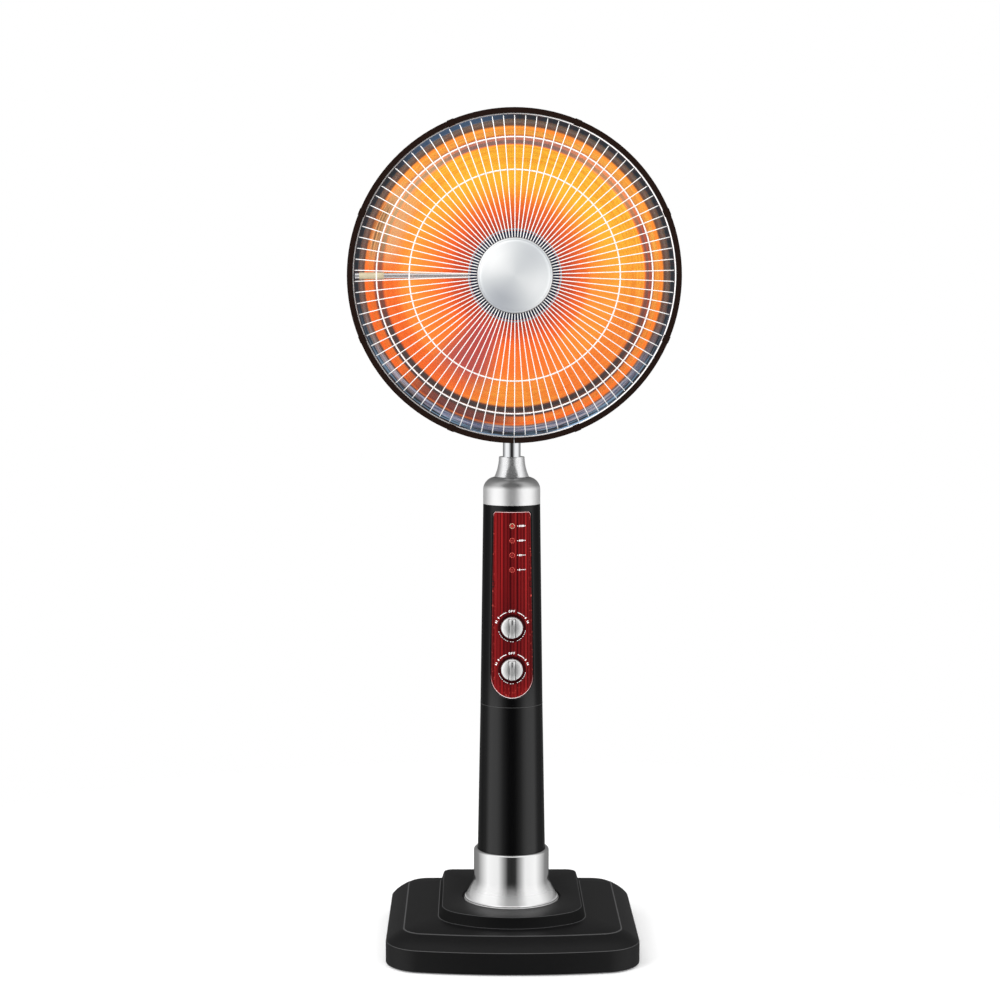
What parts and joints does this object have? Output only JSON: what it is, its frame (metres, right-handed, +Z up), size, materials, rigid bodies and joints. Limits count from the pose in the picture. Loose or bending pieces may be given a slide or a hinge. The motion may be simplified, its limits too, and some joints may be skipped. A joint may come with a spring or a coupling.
{
  "type": "parabolic heater",
  "caption": "Floor-standing electric dish heater: round reflector with a wire guard, tilting and swinging head, telescopic column with a control panel, square weighted base.",
  "frame": {"origin": "on the floor, in the middle of the object's footprint box; the column's axis is 26 mm behind it", "axes": "+Z up, along the column; the dish faces -Y; +X is to the right of someone looking at the dish from the front"},
  "size_m": [0.388, 0.3664, 1.023],
  "materials": {
    "black_plastic": "satin, very fine grain",
    "knob_plastic": "silver paint, satin",
    "panel_red": "clear red, ribbed, gloss",
    "lamp_lens": "clear orange-red, gloss",
    "switch_plastic": "matte",
    "circuit_board": "satin",
    "nylon": "satin",
    "cream_sleeve": "cream silicone, satin",
    "rubber": "matte",
    "cast_iron": "matte",
    "zinc_steel": "satin",
    "chrome": "polished",
    "chromed_plastic": "bright chrome plating, gloss",
    "chrome_wire": "polished",
    "reflector_metal": "polished",
    "black_paint": "satin",
    "brown_paint": "satin",
    "ceramic": "matte",
    "coil_metal": "satin, glowing orange",
    "cap_metal": "satin"
  },
  "bodies": {
    "stand": {"base_shell": "black_plastic", "base_plate": "zinc_steel", "ballast_block": "cast_iron", "rubber_feet": "rubber", "base_screws": "zinc_steel", "cord_grommet": "rubber", "tip_switch_body": "switch_plastic", "base_collar": "chromed_plastic", "lower_column": "black_plastic", "guide_tube": "zinc_steel", "tube_flange": "zinc_steel", "housing_front": "black_plastic", "housing_rear": "black_plastic", "housing_screws": "zinc_steel", "control_panel": "panel_red", "indicator_lamps": "lamp_lens", "lamp_board": "circuit_board", "heat_switch": "switch_plastic", "swing_switch": "switch_plastic", "dome_cap": "chromed_plastic", "tube_collet": "nylon"},
    "lock_nut": {"height_lock_nut": "chromed_plastic"},
    "pole": {"pole_tube": "chrome", "pole_bush": "nylon", "swing_box_cup": "black_plastic", "swing_box_cover": "black_plastic", "swing_box_screws": "zinc_steel", "swing_motor": "zinc_steel", "swivel_bush": "nylon"},
    "crank": {"motor_shaft": "zinc_steel", "crank_disc": "nylon"},
    "swivel": {"swivel_bracket": "black_paint", "swing_lever": "zinc_steel", "lever_nut": "zinc_steel", "tilt_bolt": "zinc_steel", "tilt_nut": "zinc_steel", "tilt_washers": "zinc_steel"},
    "head": {"head_mount": "black_plastic", "mount_screws": "zinc_steel", "rear_shell": "black_paint", "reflector": "reflector_metal", "thermal_cutout": "ceramic", "element_socket": "ceramic", "element_core": "ceramic", "element_coil": "coil_metal", "front_socket": "ceramic", "conduit_tube": "chrome", "conduit_sleeve": "cream_sleeve", "guard_spokes": "chrome_wire", "guard_rings": "chrome_wire", "hub_plate": "black_paint", "hub_cap": "cap_metal", "rim_band": "brown_paint", "rim_screw": "zinc_steel", "rim_clips": "brown_paint"},
    "heat_knob": {"heat_knob": "knob_plastic", "heat_shaft": "zinc_steel"},
    "swing_knob": {"swing_knob": "knob_plastic", "swing_shaft": "zinc_steel"},
    "plunger": {"tip_plunger": "nylon"}
  },
  "joints": [
    {"name": "height_slide", "type": "slide", "parent": "stand", "child": "pole", "axis": [0, 0, 1], "range_m": [0, 0.15]},
    {"name": "lock_nut_turn", "type": "hinge", "parent": "stand", "child": "lock_nut", "pos_m": [0, 0.026, 0.595], "axis": [0, 0, 1], "range_deg": [0, 120]},
    {"name": "head_swing", "type": "hinge", "parent": "pole", "child": "swivel", "pos_m": [0, 0.026, 0.77], "axis": [0, 0, 1], "range_deg": [-35, 35]},
    {"name": "crank_spin", "type": "hinge", "parent": "pole", "child": "crank", "pos_m": [0, 0.04, 0.755], "axis": [0, 0, 1], "range_deg": [-105, 105]},
    {"name": "head_tilt", "type": "hinge", "parent": "swivel", "child": "head", "pos_m": [0, 0.026, 0.829], "axis": [-1, 0, 0], "range_deg": [-15, 30]},
    {"name": "heat_knob_turn", "type": "hinge", "parent": "stand", "child": "heat_knob", "pos_m": [0, 0, 0.399], "axis": [0, -1, 0], "range_deg": [-75, 75]},
    {"name": "swing_knob_turn", "type": "hinge", "parent": "stand", "child": "swing_knob", "pos_m": [0, 0, 0.347], "axis": [0, -1, 0], "range_deg": [-75, 75]},
    {"name": "tip_plunger_slide", "type": "slide", "parent": "stand", "child": "plunger", "axis": [0, 0, 1], "range_m": [-0.006, 0], "stiffness_N_per_m": 60, "springref_m": -0.01}
  ],
  "couplings": [
    {"joint": "crank_spin", "follows": "head_swing", "ratio": 3}
  ]
}
